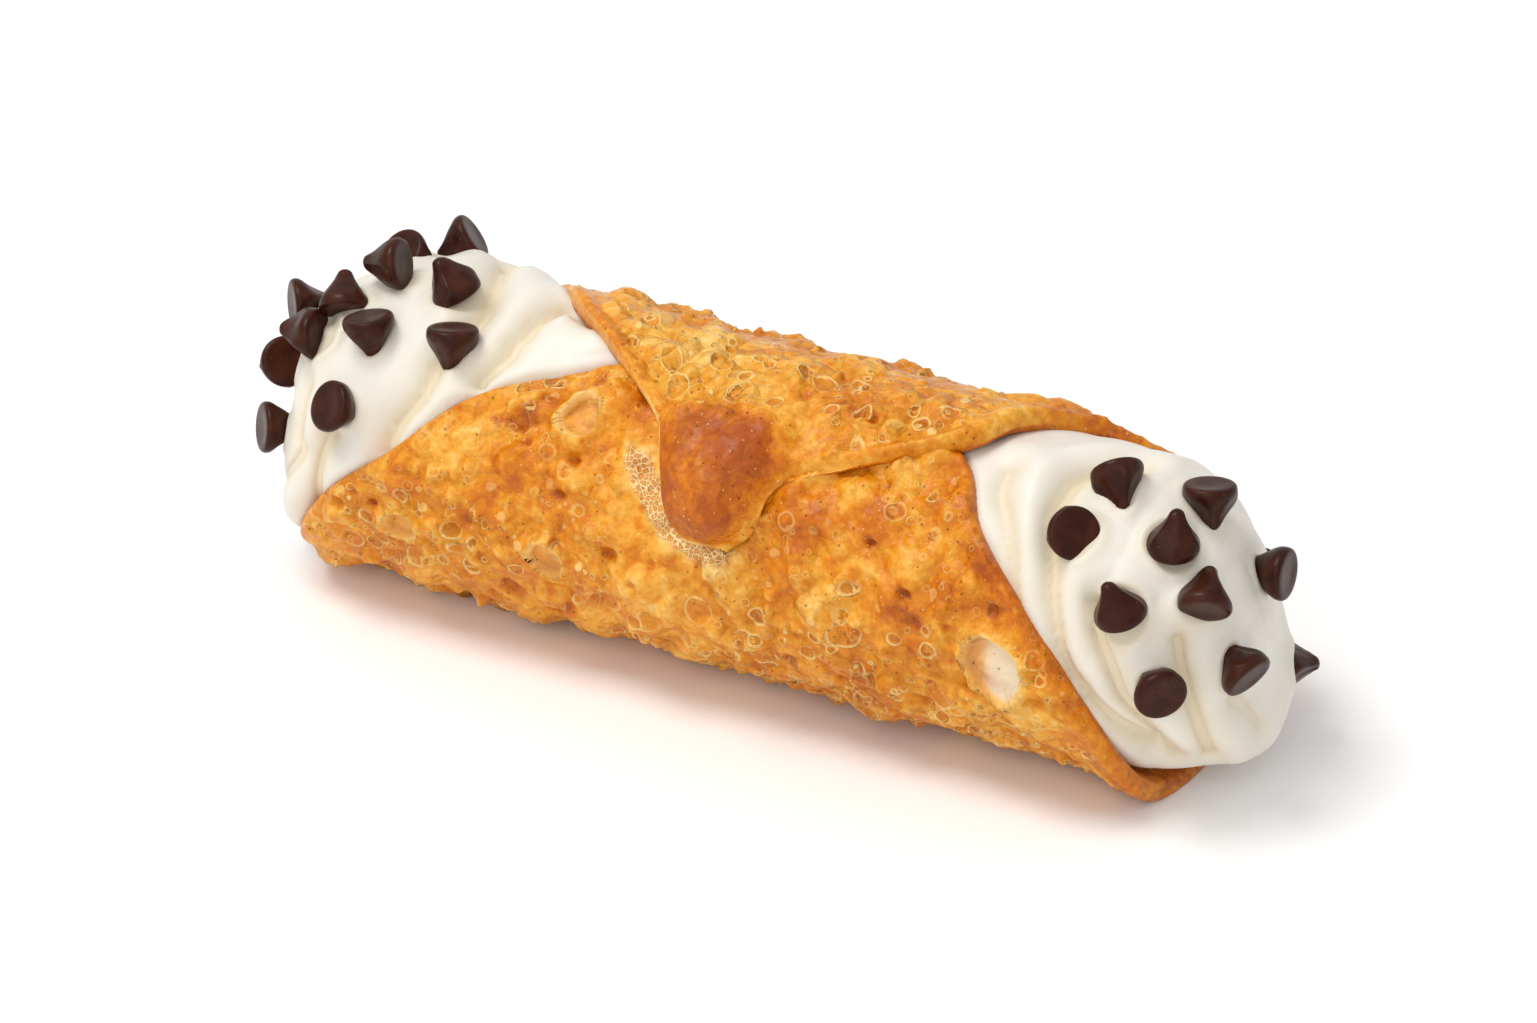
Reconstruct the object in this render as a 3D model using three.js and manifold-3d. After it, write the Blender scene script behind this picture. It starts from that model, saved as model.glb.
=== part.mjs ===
/**
 * A cannoli: a fried dough shell rolled from one sheet, filled right through with piped cream, and
 * chocolate chips pressed into both ends of the cream.
 *
 * Millimetres, +Z up. The tube lies along X with its tab at the front (-Y). The origin is the middle
 * of the small flat that the shell rests on.
 *
 * Angles "around" the tube are in degrees from straight down, rising up the front: 0 is the bottom,
 * 90 the front, 180 the top and 270 (or -90) the back.
 */
import * as THREE from 'three';
import { mergeVertices } from 'three/addons/utils/BufferGeometryUtils.js';
import Module from 'manifold-3d';

const wasm = await Module();
wasm.setup();

// ---------------------------------------------------------------- driving dimensions
const AXIS_HEIGHT = 19.6;   // tube axis above the surface it rests on
const DOUGH = 2.2;          // thickness of the fried sheet
const GAP = 0.3;            // clearance between two pieces that touch
const CORE_RADIUS = 17.2;   // cream inside the tube
const CAP = {               // the rounded cream at each end: its widest ring, its reach beyond it, its coil
  left: { x: -52.7, side: -1, radius: 18.6, depth: 11, pitch: 8.5 },
  right: { x: 50.2, side: 1, radius: 18.4, depth: 15, pitch: 7.5 },
};
const CAP_TIP = 6;          // degrees off the tip where the first ring of each end lies

// Folds that stand out of the ends: degrees off the tip and around, how far each spreads, and its height.
const LOBES = [
  { side: -1, off: 55, around: 62, spreadOff: 16, spreadAround: 22, height: 3 },
  { side: -1, off: 36, around: 175, spreadOff: 16, spreadAround: 35, height: 2.2 },
  { side: 1, off: 38, around: -8, spreadOff: 14, spreadAround: 60, height: 5 },
];
const FOLD_DEPTH = 1.1;     // depth of the creases between turns of the piped coil
const CHIP = { radius: 3.2, height: 5.6, tip: 0.75, sides: 8 };

// The rolled sheet as it winds: [around, left edge, right edge, outside radius]. It starts in a corner
// under the flap, runs down the front, under, up the back and over the top, and ends in the tab.
const SHEET = [
  [186, 2, 7, 18.6], [175, -10, 20, 18.7], [160, -18, 29, 18.9], [135, -33.5, 34.3, 19.3],
  [107, -43, 43.5, 19.6], [80, -53, 50.5, 19.9], [45, -59.3, 56, 20], [-20, -59, 58, 20],
  [-96, -51, 53.5, 20], [-150, -35.5, 38.5, 19.8], [-178, -28, 32.5, 20.8], [-197, -19.5, 29, 21.3],
  [-218, -9.5, 16.5, 21.6], [-230, -7, 9, 21.8], [-248, -4, 7, 22.1], [-256, -1.5, 4, 22.1],
];
const SHEET_START = SHEET[0][0];
const SHEET_END = SHEET[SHEET.length - 1][0];
const COVERED_FROM = SHEET_END + 360;   // the sheet lies under its own flap above this angle

// Large blisters on the outside of the dough: [along, around, radius, height].
const BLISTERS = [
  [1, -237, 8.5, 2.3], [16, 127, 6, 1.6], [22, 138, 4, 0.9], [28, 134, 4, 0.9], [40, 88, 4.5, 0.8],
  [-41, 80, 3.5, 0.7], [-20, 95, 5, 0.8], [-8, 60, 5, 0.7], [24, 80, 5, 0.8], [-34, 100, 5, 0.7],
  [-10, -170, 5, 0.7], [14, -175, 5, 0.8], [0, -110, 6, 0.8], [-30, -80, 5, 0.8], [30, -70, 6, 0.8],
];

// Chips in the cream: where the middle of each sits, as [along, around, radius], and the way its tip
// points, as shares of along the tube, further around it and outward.
const CHIPS = {
  left: [
    [-51, 214, 21, -0.8, 0, -0.6], [-43, 170, 22, -0.4, 0.1, 0.9], [-38.4, 148, 21.1, 0.1, -0.7, -0.7],
    [-49.7, 145, 20.6, 0.2, -0.6, -0.7], [-52, 171, 21.8, -1, -0.2, -0.2], [-55.5, 204, 18, 0.2, 0.8, -0.5],
    [-56.6, 160, 18.6, -0.3, 0.9, 0.4], [-59.6, 141, 17.3, -1, -0.2, -0.1], [-64, 166, 13.4, 0.7, 0.6, -0.2],
    [-65, 130, 10.1, -0.7, -0.1, -0.7], [-62.7, 93, 13.2, 0.7, -0.1, -0.7], [-50.6, 116, 19.5, 0.3, 0, -0.9],
    [-63.5, 290, 9, 0.7, 0.2, 0.6], [-58.2, 242, 17.2, 0.3, 0.4, -0.8], [-60, 325, 15.4, -0.2, 0.9, 0.3],
    [-62, 25, 14, 0.5, -0.2, -0.8], [-57.5, 284, 17.6, -0.3, 0.3, 0.9],
  ],
  right: [
    [48.2, 165, 19.7, 0.5, -0.7, -0.5], [45, 142, 18.8, -0.6, 0.3, -0.7], [57.5, 179, 17, 0.1, -0.2, -1],
    [56.6, 153, 17.8, 0.1, 0.3, 0.9], [61.9, 137, 14.6, -0.2, 0.9, -0.2], [64.2, 205, 8, -1, 0, -0.1],
    [53.6, 122, 19.3, -0.2, 0.7, 0.7], [59, 92, 16.5, -0.7, 0.1, -0.7], [65.4, 97, 8, -0.9, 0.4, -0.2],
    [63.9, 311, 14.2, 0.8, -0.4, 0.5], [57.5, 277, 16.4, 0.2, 0.5, 0.8],
  ],
};

// ---------------------------------------------------------------- small helpers
const RAD = Math.PI / 180;
const clamp01 = (t) => Math.min(1, Math.max(0, t));
const ease = (low, high, value) => {
  const t = clamp01((value - low) / (high - low));
  return t * t * (3 - 2 * t);
};

/** The point at a distance along the tube, an angle around it and a radius from its axis. */
function tubePoint(along, around, radius) {
  return new THREE.Vector3(
    along,
    -radius * Math.sin(around * RAD),
    AXIS_HEIGHT - radius * Math.cos(around * RAD),
  );
}

/** One column of SHEET at any angle, as a smooth curve through its rows. */
function sheetAt(around, column) {
  let i = 1;
  while (i < SHEET.length - 1 && SHEET[i][0] > around) i += 1;
  const slope = (k) => {
    const before = SHEET[Math.max(0, k - 1)];
    const after = SHEET[Math.min(SHEET.length - 1, k + 1)];
    return (after[column] - before[column]) / (after[0] - before[0]);
  };
  const [from, to] = [SHEET[i - 1], SHEET[i]];
  const span = to[0] - from[0];
  const t = clamp01((around - from[0]) / span);
  const t2 = t * t;
  const t3 = t2 * t;
  return from[column] * (2 * t3 - 3 * t2 + 1) + slope(i - 1) * span * (t3 - 2 * t2 + t)
    + to[column] * (3 * t2 - 2 * t3) + slope(i) * span * (t3 - t2);
}
const leftEdge = (around) => sheetAt(around, 1);
const rightEdge = (around) => sheetAt(around, 2);
const outsideRadius = (around) => sheetAt(around, 3);

/** A closed body from rings of points: each ring joins the next, and both end rings are closed. */
function lofted(rings, closeEnd) {
  const size = rings[0].length;
  const positions = rings.flat().flatMap((p) => [p.x, p.y, p.z]);
  const index = [];
  for (let r = 0; r < rings.length - 1; r += 1) {
    for (let k = 0; k < size; k += 1) {
      const next = (k + 1) % size;
      const [a, b] = [r * size + k, r * size + next];
      const [c, d] = [a + size, b + size];
      index.push(a, d, b, a, c, d);
    }
  }
  closeEnd(index, 0, size, true);
  closeEnd(index, (rings.length - 1) * size, size, false);
  const geometry = new THREE.BufferGeometry();
  geometry.setAttribute('position', new THREE.Float32BufferAttribute(positions, 3));
  geometry.setIndex(index);
  return geometry;
}

/** Closes a flat, folded ring of a sheet: each outside point meets the inside point below it. */
function closeFolded(index, start, size, facesForward) {
  const push = (a, b, c) => {
    const [second, third] = facesForward ? [b, c] : [c, b];
    index.push(start + a, start + second, start + third);
  };
  for (let k = 0; k < size / 2; k += 1) {
    const [a, b] = [k, k + 1];
    const [c, d] = [(size - k) % size, size - k - 1];
    if (a !== c) push(a, b, c);
    if (b !== d) push(b, d, c);
  }
}

/** Closes a round ring with a fan about its first point. */
function closeFan(index, start, size, facesForward) {
  for (let k = 1; k < size - 1; k += 1) {
    index.push(start, start + (facesForward ? k : k + 1), start + (facesForward ? k + 1 : k));
  }
}

/** A geometry as a solid that can be joined and cut. */
function toSolid(geometry) {
  const bare = geometry.clone();
  bare.deleteAttribute('normal');
  bare.deleteAttribute('uv');
  const merged = mergeVertices(bare);
  return new wasm.Manifold(new wasm.Mesh({
    numProp: 3,
    vertProperties: merged.attributes.position.array,
    triVerts: Uint32Array.from(merged.index.array),
  }));
}

/** A joined or cut solid as a geometry again. */
function toGeometry(solid) {
  const mesh = solid.getMesh();
  const geometry = new THREE.BufferGeometry();
  geometry.setAttribute('position', new THREE.Float32BufferAttribute(mesh.vertProperties, 3));
  geometry.setIndex(Array.from(mesh.triVerts));
  geometry.computeVertexNormals();
  return geometry;
}

// ---------------------------------------------------------------- the dough shell
const ROWS = 60;            // steps along the winding sheet
const COLUMNS = 11;         // steps across it, closer together near its edges
const BEAD = { height: 0.5, width: 2.2 };   // the thick rolled edge
const LIP_FLARE = 0.7;      // outward curl of the lip at the low right end
// The pad under the flap: its angles, half widths at the tab and above it, and how deep it bites into both.
const SEAM = { from: 174, to: 114, steps: 8, middle: 2, narrow: 3, wide: 11, bite: 0.5 };
const TAPER = 10;           // degrees over which both ends of the sheet thin out
const THIN = 0.55;          // share of the thickness left at those ends
const BEVEL = 0.8;          // how far the rounding of the sheet's edges reaches in

/** Height of the blisters and of the rolled edge above the plain outside of the sheet. */
function doughRelief(along, around) {
  const edge = Math.min(along - leftEdge(around), rightEdge(around) - along);
  let height = BEAD.height * Math.exp(-((edge / BEAD.width) ** 2));
  for (const [x, angle, radius, rise] of BLISTERS) {
    const arc = (around - angle) * RAD * outsideRadius(around);
    const distance = Math.hypot(along - x, arc) / radius;
    if (distance < 1) height += rise * (1 - distance * distance) ** 1.5;
  }
  return height + 0.25 * Math.sin(along * 0.33 + around * 0.11) * Math.sin(around * 0.17 - along * 0.13);
}

/** Whether the flap lies over this place, which keeps the dough below it smooth. */
function isCovered(along, around) {
  return around > COVERED_FROM && along > leftEdge(around - 360) - 3 && along < rightEdge(around - 360) + 3;
}

/** How far the lip at the low right end curls outward. */
function lipFlare(along, around) {
  return LIP_FLARE * ease(50, 59, along) * ease(45, 0, Math.abs(around - 38));
}

/** The strip of dough as it winds, optionally grown on every side, closed all round. */
function sheetGeometry(grow) {
  const rings = [];
  const growAngle = grow / AXIS_HEIGHT / RAD;
  const [start, end] = [SHEET_START + growAngle, SHEET_END - growAngle];
  for (let row = 0; row <= ROWS; row += 1) {
    const around = start + (end - start) * (row / ROWS);
    const fromEnd = Math.min(start - around, around - end);
    const thick = DOUGH * (THIN + (1 - THIN) * ease(0, TAPER, fromEnd));
    const inside = outsideRadius(around) - DOUGH - grow;
    const [left, right] = [leftEdge(around) - grow, rightEdge(around) + grow];
    const bevel = Math.min(BEVEL, (right - left) / 5);
    const outer = [];
    const inner = [];
    for (let column = 0; column <= COLUMNS; column += 1) {
      const share = 0.5 - 0.5 * Math.cos(Math.PI * (column / COLUMNS));
      const along = left + bevel + (right - left - 2 * bevel) * share;
      const relief = isCovered(along, around) ? 0 : doughRelief(along, around);
      const flare = lipFlare(along, around);
      outer.push(tubePoint(along, around, inside + thick + 2 * grow + relief + flare));
      inner.push(tubePoint(along, around, inside + flare));
    }
    const middle = inside + thick * 0.5 + grow;
    const ring = [
      tubePoint(left, around, middle), ...outer,
      tubePoint(right, around, middle + lipFlare(right, around)), ...inner.reverse(),
    ];
    for (const point of ring) point.z = Math.max(point.z, 0);
    rings.push(ring);
  }
  return lofted(rings, closeFolded);
}

/** The pad of egg-washed dough that bonds the flap to the sheet under it. */
function seamGeometry() {
  const { from, to, steps, middle, narrow, wide, bite } = SEAM;
  const rings = [];
  for (let step = 0; step <= steps; step += 1) {
    const around = from + (to - from) * (step / steps);
    const half = narrow + (wide - narrow) * ease(to, 150, around);
    const low = outsideRadius(around) - bite;
    const high = outsideRadius(around - 360) - DOUGH + bite;
    const across = [middle - half, middle, middle + half];
    const upper = across.map((along) => tubePoint(along, around, high));
    const lower = across.map((along) => tubePoint(along, around, low));
    rings.push([...upper, ...lower.reverse()]);
  }
  return lofted(rings, closeFan);
}

// ---------------------------------------------------------------- the piped cream
const AROUND_STEPS = 28;
const CAP_STEPS = 11;       // from the tip of each rounded end to its widest ring
const RING_STEP = 3.6;      // between rings of the cream that shows
const CORE = { left: -14, rings: [-10, 8, 24], right: 28 };   // where the plain filling begins and ends
const BACK_SLOPE = 1.5;     // how far the right end leans away at its upper back

/** The largest radius that clears the dough at this place, or no limit away from the dough. */
function roomInside(along, around) {
  let room = Infinity;
  for (const turn of [around, around - 360]) {
    if (turn > SHEET_START || turn < SHEET_END) continue;
    const beyond = Math.max(leftEdge(turn) - along, along - rightEdge(turn), 0);
    room = Math.min(room, outsideRadius(turn) - DOUGH - 2 * GAP + 0.8 * Math.max(0, beyond - 1));
  }
  return room;
}

/** How far the crease between turns of the piped coil cuts in, at a distance from the tip. */
function coilCrease(cap, fromTip, around) {
  const phase = fromTip / cap.pitch + (cap.side * around) / 360;
  return FOLD_DEPTH * (1 - Math.abs(Math.sin(Math.PI * phase))) * ease(0, 5, fromTip);
}

/** How far an end stands out beyond a plain dome: its folds, less the slope at the upper back. */
function fullness(cap, off, around) {
  let height = 0;
  for (const lobe of LOBES.filter(({ side }) => side === cap.side)) {
    const turn = ((around - lobe.around + 540) % 360) - 180;
    const [u, v] = [(off - lobe.off) / lobe.spreadOff, turn / lobe.spreadAround];
    height += lobe.height * Math.exp(-u * u - v * v);
  }
  if (cap.side > 0) height -= BACK_SLOPE * highSide(around, 225) * Math.sin(2 * off * RAD);
  return height;
}

/** 1 at an angle around the tube, falling to 0 a quarter turn to either side of it. */
function highSide(around, middle) {
  return Math.max(0, Math.cos((around - middle) * RAD));
}

/** The swelling where the cream at the left wells up over the cut of the shell. */
function swelling(cap, along, around) {
  if (cap.side > 0) return 0;
  return highSide(around, 205) * (2.2 * ease(-56, -43, along) - 0.8 * ease(-42, -36, along));
}

/** A ring of the cream, in either rounded end or along the tube between them. */
function creamRing(cap, off, along) {
  const ring = [];
  for (let k = 0; k < AROUND_STEPS; k += 1) {
    const around = (360 * k) / AROUND_STEPS;
    const fromTip = off * RAD * cap.radius + Math.abs(along - cap.x);
    const relief = fullness(cap, off, around) - coilCrease(cap, fromTip, around);
    const place = along + cap.side * Math.cos(off * RAD) * (cap.depth + relief);
    const full = Math.sin(off * RAD) * (cap.radius + relief) + swelling(cap, place, around);
    const radius = Math.min(full, roomInside(place, around));
    ring.push(tubePoint(place, around, radius));
  }
  return ring;
}

/** A plain ring of the cream deep inside the tube. */
function coreRing(along) {
  const ring = [];
  for (let k = 0; k < AROUND_STEPS; k += 1) {
    const around = (360 * k) / AROUND_STEPS;
    ring.push(tubePoint(along, around, Math.min(CORE_RADIUS, roomInside(along, around))));
  }
  return ring;
}

/** The whole filling, from the tip of one rounded end to the tip of the other. */
function creamGeometry() {
  const rings = [];
  const offTip = (k) => CAP_TIP + ((90 - CAP_TIP) * k) / CAP_STEPS;
  for (let k = 0; k < CAP_STEPS; k += 1) rings.push(creamRing(CAP.left, offTip(k), CAP.left.x));
  for (let x = CAP.left.x; x < CORE.left; x += RING_STEP) rings.push(creamRing(CAP.left, 90, x));
  for (const x of CORE.rings) rings.push(coreRing(x));
  for (let x = CORE.right; x < CAP.right.x - 1; x += RING_STEP) rings.push(creamRing(CAP.right, 90, x));
  for (let k = CAP_STEPS; k >= 0; k -= 1) rings.push(creamRing(CAP.right, offTip(k), CAP.right.x));
  return lofted(rings, closeFan);
}

// ---------------------------------------------------------------- the chocolate chips
/** A drop-shaped chip, flat base down and tip up, about its own middle; grow widens it all round. */
function chipGeometry(grow) {
  const { radius, height, tip, sides } = CHIP;
  const outline = [
    [0, -grow], [radius * 0.88 + grow, -grow], [radius + grow, height * 0.14],
    [radius * 0.5 + grow, height * 0.6], [tip + grow, height + grow], [0, height + grow],
  ];
  const points = outline.map(([r, z]) => new THREE.Vector2(r, z - height * 0.36));
  const geometry = new THREE.LatheGeometry(points, sides);
  return geometry.rotateX(Math.PI / 2);
}

/** Where a chip sits and the way its tip points. */
function chipPlace([along, around, radius, tipAlong, tipAround, tipOut]) {
  const outward = new THREE.Vector3(0, -Math.sin(around * RAD), -Math.cos(around * RAD));
  const onward = new THREE.Vector3(0, -Math.cos(around * RAD), Math.sin(around * RAD));
  const heading = new THREE.Vector3(tipAlong, 0, 0)
    .addScaledVector(onward, tipAround)
    .addScaledVector(outward, tipOut)
    .normalize();
  const turned = new THREE.Quaternion().setFromUnitVectors(new THREE.Vector3(0, 0, 1), heading);
  return new THREE.Matrix4().compose(tubePoint(along, around, radius), turned, new THREE.Vector3(1, 1, 1));
}

// ---------------------------------------------------------------- the assembled object
function finishOf(name, color, roughness) {
  return new THREE.MeshStandardMaterial({ name, color, roughness, metalness: 0 });
}

const finish = {
  dough: finishOf('fried_dough', 0xd98f3e, 0.5),
  cream: finishOf('cream', 0xf6f1e2, 0.45),
  chocolate: finishOf('chocolate', 0x43261f, 0.38),
};

function named(name, geometry, material) {
  const mesh = new THREE.Mesh(geometry, material);
  mesh.name = name;
  return mesh;
}

const cannoli = new THREE.Group();
cannoli.add(named('shell', toGeometry(toSolid(sheetGeometry(0)).add(toSolid(seamGeometry()))), finish.dough));

let cream = toSolid(creamGeometry()).subtract(toSolid(sheetGeometry(GAP)));
for (const [label, chips] of Object.entries(CHIPS)) {
  chips.forEach((chip, k) => {
    const place = chipPlace(chip);
    cream = cream.subtract(toSolid(chipGeometry(GAP).applyMatrix4(place)));
    const mesh = named(`chip_${label}_${String(k + 1).padStart(2, '0')}`, chipGeometry(0), finish.chocolate);
    mesh.applyMatrix4(place);
    cannoli.add(mesh);
  });
}
cannoli.add(named('cream', toGeometry(cream), finish.cream));

export default cannoli;
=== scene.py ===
"""Looks for the cannoli: fried dough, piped cream and chocolate chips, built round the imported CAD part.

Shapes are worked out in millimetres in the CAD frame and turned into metres when a mesh is made. The tube
lies along X. Angles "around" it are degrees from straight down, rising up the front, as in the CAD.
"""
import math

import bpy
import numpy as np
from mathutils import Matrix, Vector


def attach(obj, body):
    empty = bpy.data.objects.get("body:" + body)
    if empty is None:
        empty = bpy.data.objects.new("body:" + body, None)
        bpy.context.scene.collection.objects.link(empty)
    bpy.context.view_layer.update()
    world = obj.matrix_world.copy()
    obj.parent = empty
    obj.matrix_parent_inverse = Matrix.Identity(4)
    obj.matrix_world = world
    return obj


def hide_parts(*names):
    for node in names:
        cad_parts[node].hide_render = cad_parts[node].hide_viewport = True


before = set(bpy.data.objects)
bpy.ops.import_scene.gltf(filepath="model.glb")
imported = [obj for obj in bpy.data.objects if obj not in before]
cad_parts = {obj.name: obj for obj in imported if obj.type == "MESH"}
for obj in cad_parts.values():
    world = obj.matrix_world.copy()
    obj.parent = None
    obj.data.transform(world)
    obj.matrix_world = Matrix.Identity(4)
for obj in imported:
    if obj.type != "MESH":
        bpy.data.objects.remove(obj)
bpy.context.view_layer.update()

RAD = math.pi / 180
MM = 0.001

# -------- driving dimensions, as in the CAD
AXIS_HEIGHT = 19.6
TUBE_RADIUS = 20  # turns degrees around the tube into a length
DOUGH = 2.2
CORE_RADIUS = 17.2
# Ends of the cream: where the dome starts, its side, radius and depth, the pitch of its coil, and the place
# along the tube beyond which dough hides it.
CAPS = {
    "left": {"x": -52.7, "side": -1, "radius": 18.6, "depth": 11, "pitch": 8.5, "hidden": -16},
    "right": {"x": 50.2, "side": 1, "radius": 18.4, "depth": 15, "pitch": 7.5, "hidden": 26},
}
# Folds that stand out of the ends: side, degrees off the tip, around, spread of each, height.
LOBES = [[-1, 55, 62, 16, 22, 3], [-1, 36, 175, 16, 35, 2.2], [1, 38, -8, 14, 60, 5]]
# The rolled sheet as it winds: around, left edge, right edge, outside radius.
SHEET = np.array([
    [186, 2, 7, 18.6], [175, -10, 20, 18.7], [160, -18, 29, 18.9], [135, -33.5, 34.3, 19.3],
    [107, -43, 43.5, 19.6], [80, -53, 50.5, 19.9], [45, -59.3, 56, 20], [-20, -59, 58, 20],
    [-96, -51, 53.5, 20], [-150, -35.5, 38.5, 19.8], [-178, -28, 32.5, 20.8], [-197, -19.5, 29, 21.3],
    [-218, -9.5, 16.5, 21.6], [-230, -7, 9, 21.8], [-248, -4, 7, 22.1], [-256, -1.5, 4, 22.1],
])
SHEET_START, SHEET_END = SHEET[0, 0], SHEET[-1, 0]
COVERED_FROM = SHEET_END + 360
REACH = 60  # no part of the sheet is farther along the tube
FLAP_FROM = -150  # beyond this angle the sheet is the flap on top
TAB_ZONE = (-207, -224)  # where the flap turns into the tab
# The puffed tab: its middle, reach, height, browning, the width of its rounded edge, and the power of its
# outline, where 2 would be round and more is squarer.
TAB = {"along": 0.2, "around": -231, "radius": 9.4, "puff": 3.4, "brown": 0.95, "pillow": 3.4, "power": 2.4}


# -------- helpers for numbers
def ease(low, high, value):
    """0 below low, 1 above high, and a smooth step between them. Low may be the larger."""
    t = np.clip((value - low) / (high - low), 0, 1)
    return t * t * (3 - 2 * t)


def bump_of(distance, width):
    """A smooth bump: 1 at distance 0, fading over the width."""
    return np.exp(-(distance / width) ** 2)


def dome(across, beside, radius, power=1):
    """A rounded rise: 1 in the middle, 0 from the radius outward."""
    q = np.clip(np.hypot(across, beside) / radius, 0, 1)
    return (1 - q * q) ** power


def arc_length(around, radius=TUBE_RADIUS):
    """Degrees around the tube as millimetres along its outside."""
    return around * RAD * radius


def hash_grid(ix, iy, seed):
    """A repeatable number from 0 to 1 for each cell of a grid."""
    n = (ix.astype(np.int64) * 374761393 + iy.astype(np.int64) * 668265263 + seed * 1442695041) & 0x7FFFFFFF
    n = ((n ^ (n >> 13)) * 1274126177) & 0x7FFFFFFF
    n = ((n ^ (n >> 16)) * 668265263) & 0x7FFFFFFF
    return (n & 0xFFFFFF) / float(0xFFFFFF)


def noise(u, v, cell, seed):
    """Smooth noise from -1 to 1, with lumps about one cell across. Each use has its own seed."""
    x, y = u / cell, v / cell
    ix, iy = np.floor(x), np.floor(y)
    fx, fy = x - ix, y - iy
    fx = fx * fx * fx * (fx * (fx * 6 - 15) + 10)
    fy = fy * fy * fy * (fy * (fy * 6 - 15) + 10)
    low = hash_grid(ix, iy, seed) * (1 - fx) + hash_grid(ix + 1, iy, seed) * fx
    high = hash_grid(ix, iy + 1, seed) * (1 - fx) + hash_grid(ix + 1, iy + 1, seed) * fx
    return 2 * (low * (1 - fy) + high * fy) - 1


def tube_point(along, around, radius):
    """The point at a distance along the tube, an angle around it and a radius from its axis."""
    return np.stack([
        along + 0 * radius,
        -radius * np.sin(around * RAD),
        AXIS_HEIGHT - radius * np.cos(around * RAD),
    ], axis=-1)


def angle_of(offset):
    """Degrees around the tube of an offset from its axis."""
    return np.degrees(np.arctan2(-offset[..., 1], -offset[..., 2]))


def sheet_at(around, column):
    """One column of SHEET at any angle, as a smooth curve through its rows."""
    angles, values = SHEET[:, 0], SHEET[:, column]
    i = np.clip(np.searchsorted(-angles, -around, side="left"), 1, len(angles) - 1)
    before = np.maximum(np.arange(len(angles)) - 1, 0)
    after = np.minimum(np.arange(len(angles)) + 1, len(angles) - 1)
    slopes = (values[after] - values[before]) / (angles[after] - angles[before])
    span = angles[i] - angles[i - 1]
    t = np.clip((around - angles[i - 1]) / span, 0, 1)
    t2, t3 = t * t, t * t * t
    return (values[i - 1] * (2 * t3 - 3 * t2 + 1) + slopes[i - 1] * span * (t3 - 2 * t2 + t)
            + values[i] * (3 * t2 - 2 * t3) + slopes[i] * span * (t3 - t2))


# -------- marks on the dough
# Large lumps: along, around, radius, height, browning.
LUMPS = [
    [4.5, -226, 4.5, 0.4, 0.2], [2.5, -246, 3.5, 0.3, 0.25], [12.9, 122, 5.5, 1.5, 0.7],
    [22.3, 129, 4.2, 1, 0.5], [28, 138, 3, 0.7, 0.2], [40, 88, 4.5, 0.8, -0.3],
    [-41, 97, 3.2, 0.8, 0.6], [-32.9, 118, 2.6, 0.8, -0.4], [-26.3, 114, 3.4, 0.9, 0.5],
    [-36.8, 109, 3.6, 0.5, -0.5], [4.6, 96, 4.2, 1.1, -0.2], [30.5, 87, 2.2, 0.7, 0.3],
    [26.6, 102, 2.8, 0.8, 0.5], [22.8, 112, 1.2, 0.6, -0.4], [-13, 96, 2.6, 0.7, 0.3],
    [-14.7, 78, 3, 0.7, 0.2], [-26.8, 93, 2.4, 0.6, 0.2], [-12, 140, 4.5, 0.7, 0.1],
    [12, 100, 3.4, 0.7, 0.1], [33, 110, 3.6, 0.7, 0.4], [36, 126, 3, 0.5, 0.5],
    [-11.8, -182, 1.7, 0.6, 0], [4, -222, 4, 0.6, 0.2], [-8, 60, 4, 0.8, 0], [8, 66, 4, 0.7, 0.2],
    [24, 66, 4, 0.8, 0.1], [-34, 62, 3, 0.6, 0.2], [-21, 66, 3, 0.6, 0],
]
# Popped and flat bubbles: along, around, radius, and a kind if it isn't a ring. A ring is a flat disc with
# a pale rim, a window thin pale dough, a hollow a dent darkened with painted shade.
BUBBLES = [
    [-28, 141, 1], [-24.7, 147, 1.3], [-23.6, 146, 0.8], [-25.6, 135, 0.5], [-46, 79, 1],
    [-44.7, 69, 1], [-39.9, 66, 1.2], [-41.5, 54, 1], [-46.7, 50, 1.3], [-33.6, 84, 1.2],
    [-33.3, 76, 1], [-31.8, 68, 1.1], [-53.8, 66, 0.5], [-48.4, 80, 0.4], [-41.2, 79, 2, "window"],
    [-19, 136, 2.5, "window"], [-20.6, 82, 2.2, "window"], [-26.9, 60, 1.8, "hollow"], [-0.1, 77, 1.9],
    [20.2, 103, 1], [21.2, 104, 0.6], [20.2, 86, 1.9], [26.6, 89, 0.9], [14.7, 73, 1],
    [39.6, 88, 3.8, "window"], [31.7, 68, 1.8], [41.6, 66, 1.7], [38.6, 108, 1, "hollow"],
    [21.7, 120, 0.7, "hollow"], [-26.8, 129, 1.6, "hollow"], [-30.7, 81, 0.6], [27.5, 141, 0.7],
    [-16.9, -182, 1.4], [-22.2, -175, 0.8], [-16.9, -194, 0.8], [-10.5, -198, 1.3], [-8, -207, 1.5],
    [-4.8, -193, 1.2], [-5.7, -183, 0.7], [-1.2, -185, 0.8], [0.4, -187, 0.7], [0.6, -183, 0.6],
    [-0.2, -204, 1.7], [8.1, -188, 1.5], [11.8, -184, 0.8], [13.2, -186, 0.7], [12.6, -189, 0.5],
    [4.6, -204, 1.1], [11.7, -201, 0.9], [15.3, -199, 1.1], [25, -188, 1], [21, -192, 0.7],
]
# The band of fine foam on the lower sheet beside the tab: along, around.
FOAM_LINE = np.array([[-10.2, 126], [-7.6, 115], [-4.6, 106.5], [-0.5, 102.5], [3, 103]])


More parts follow.
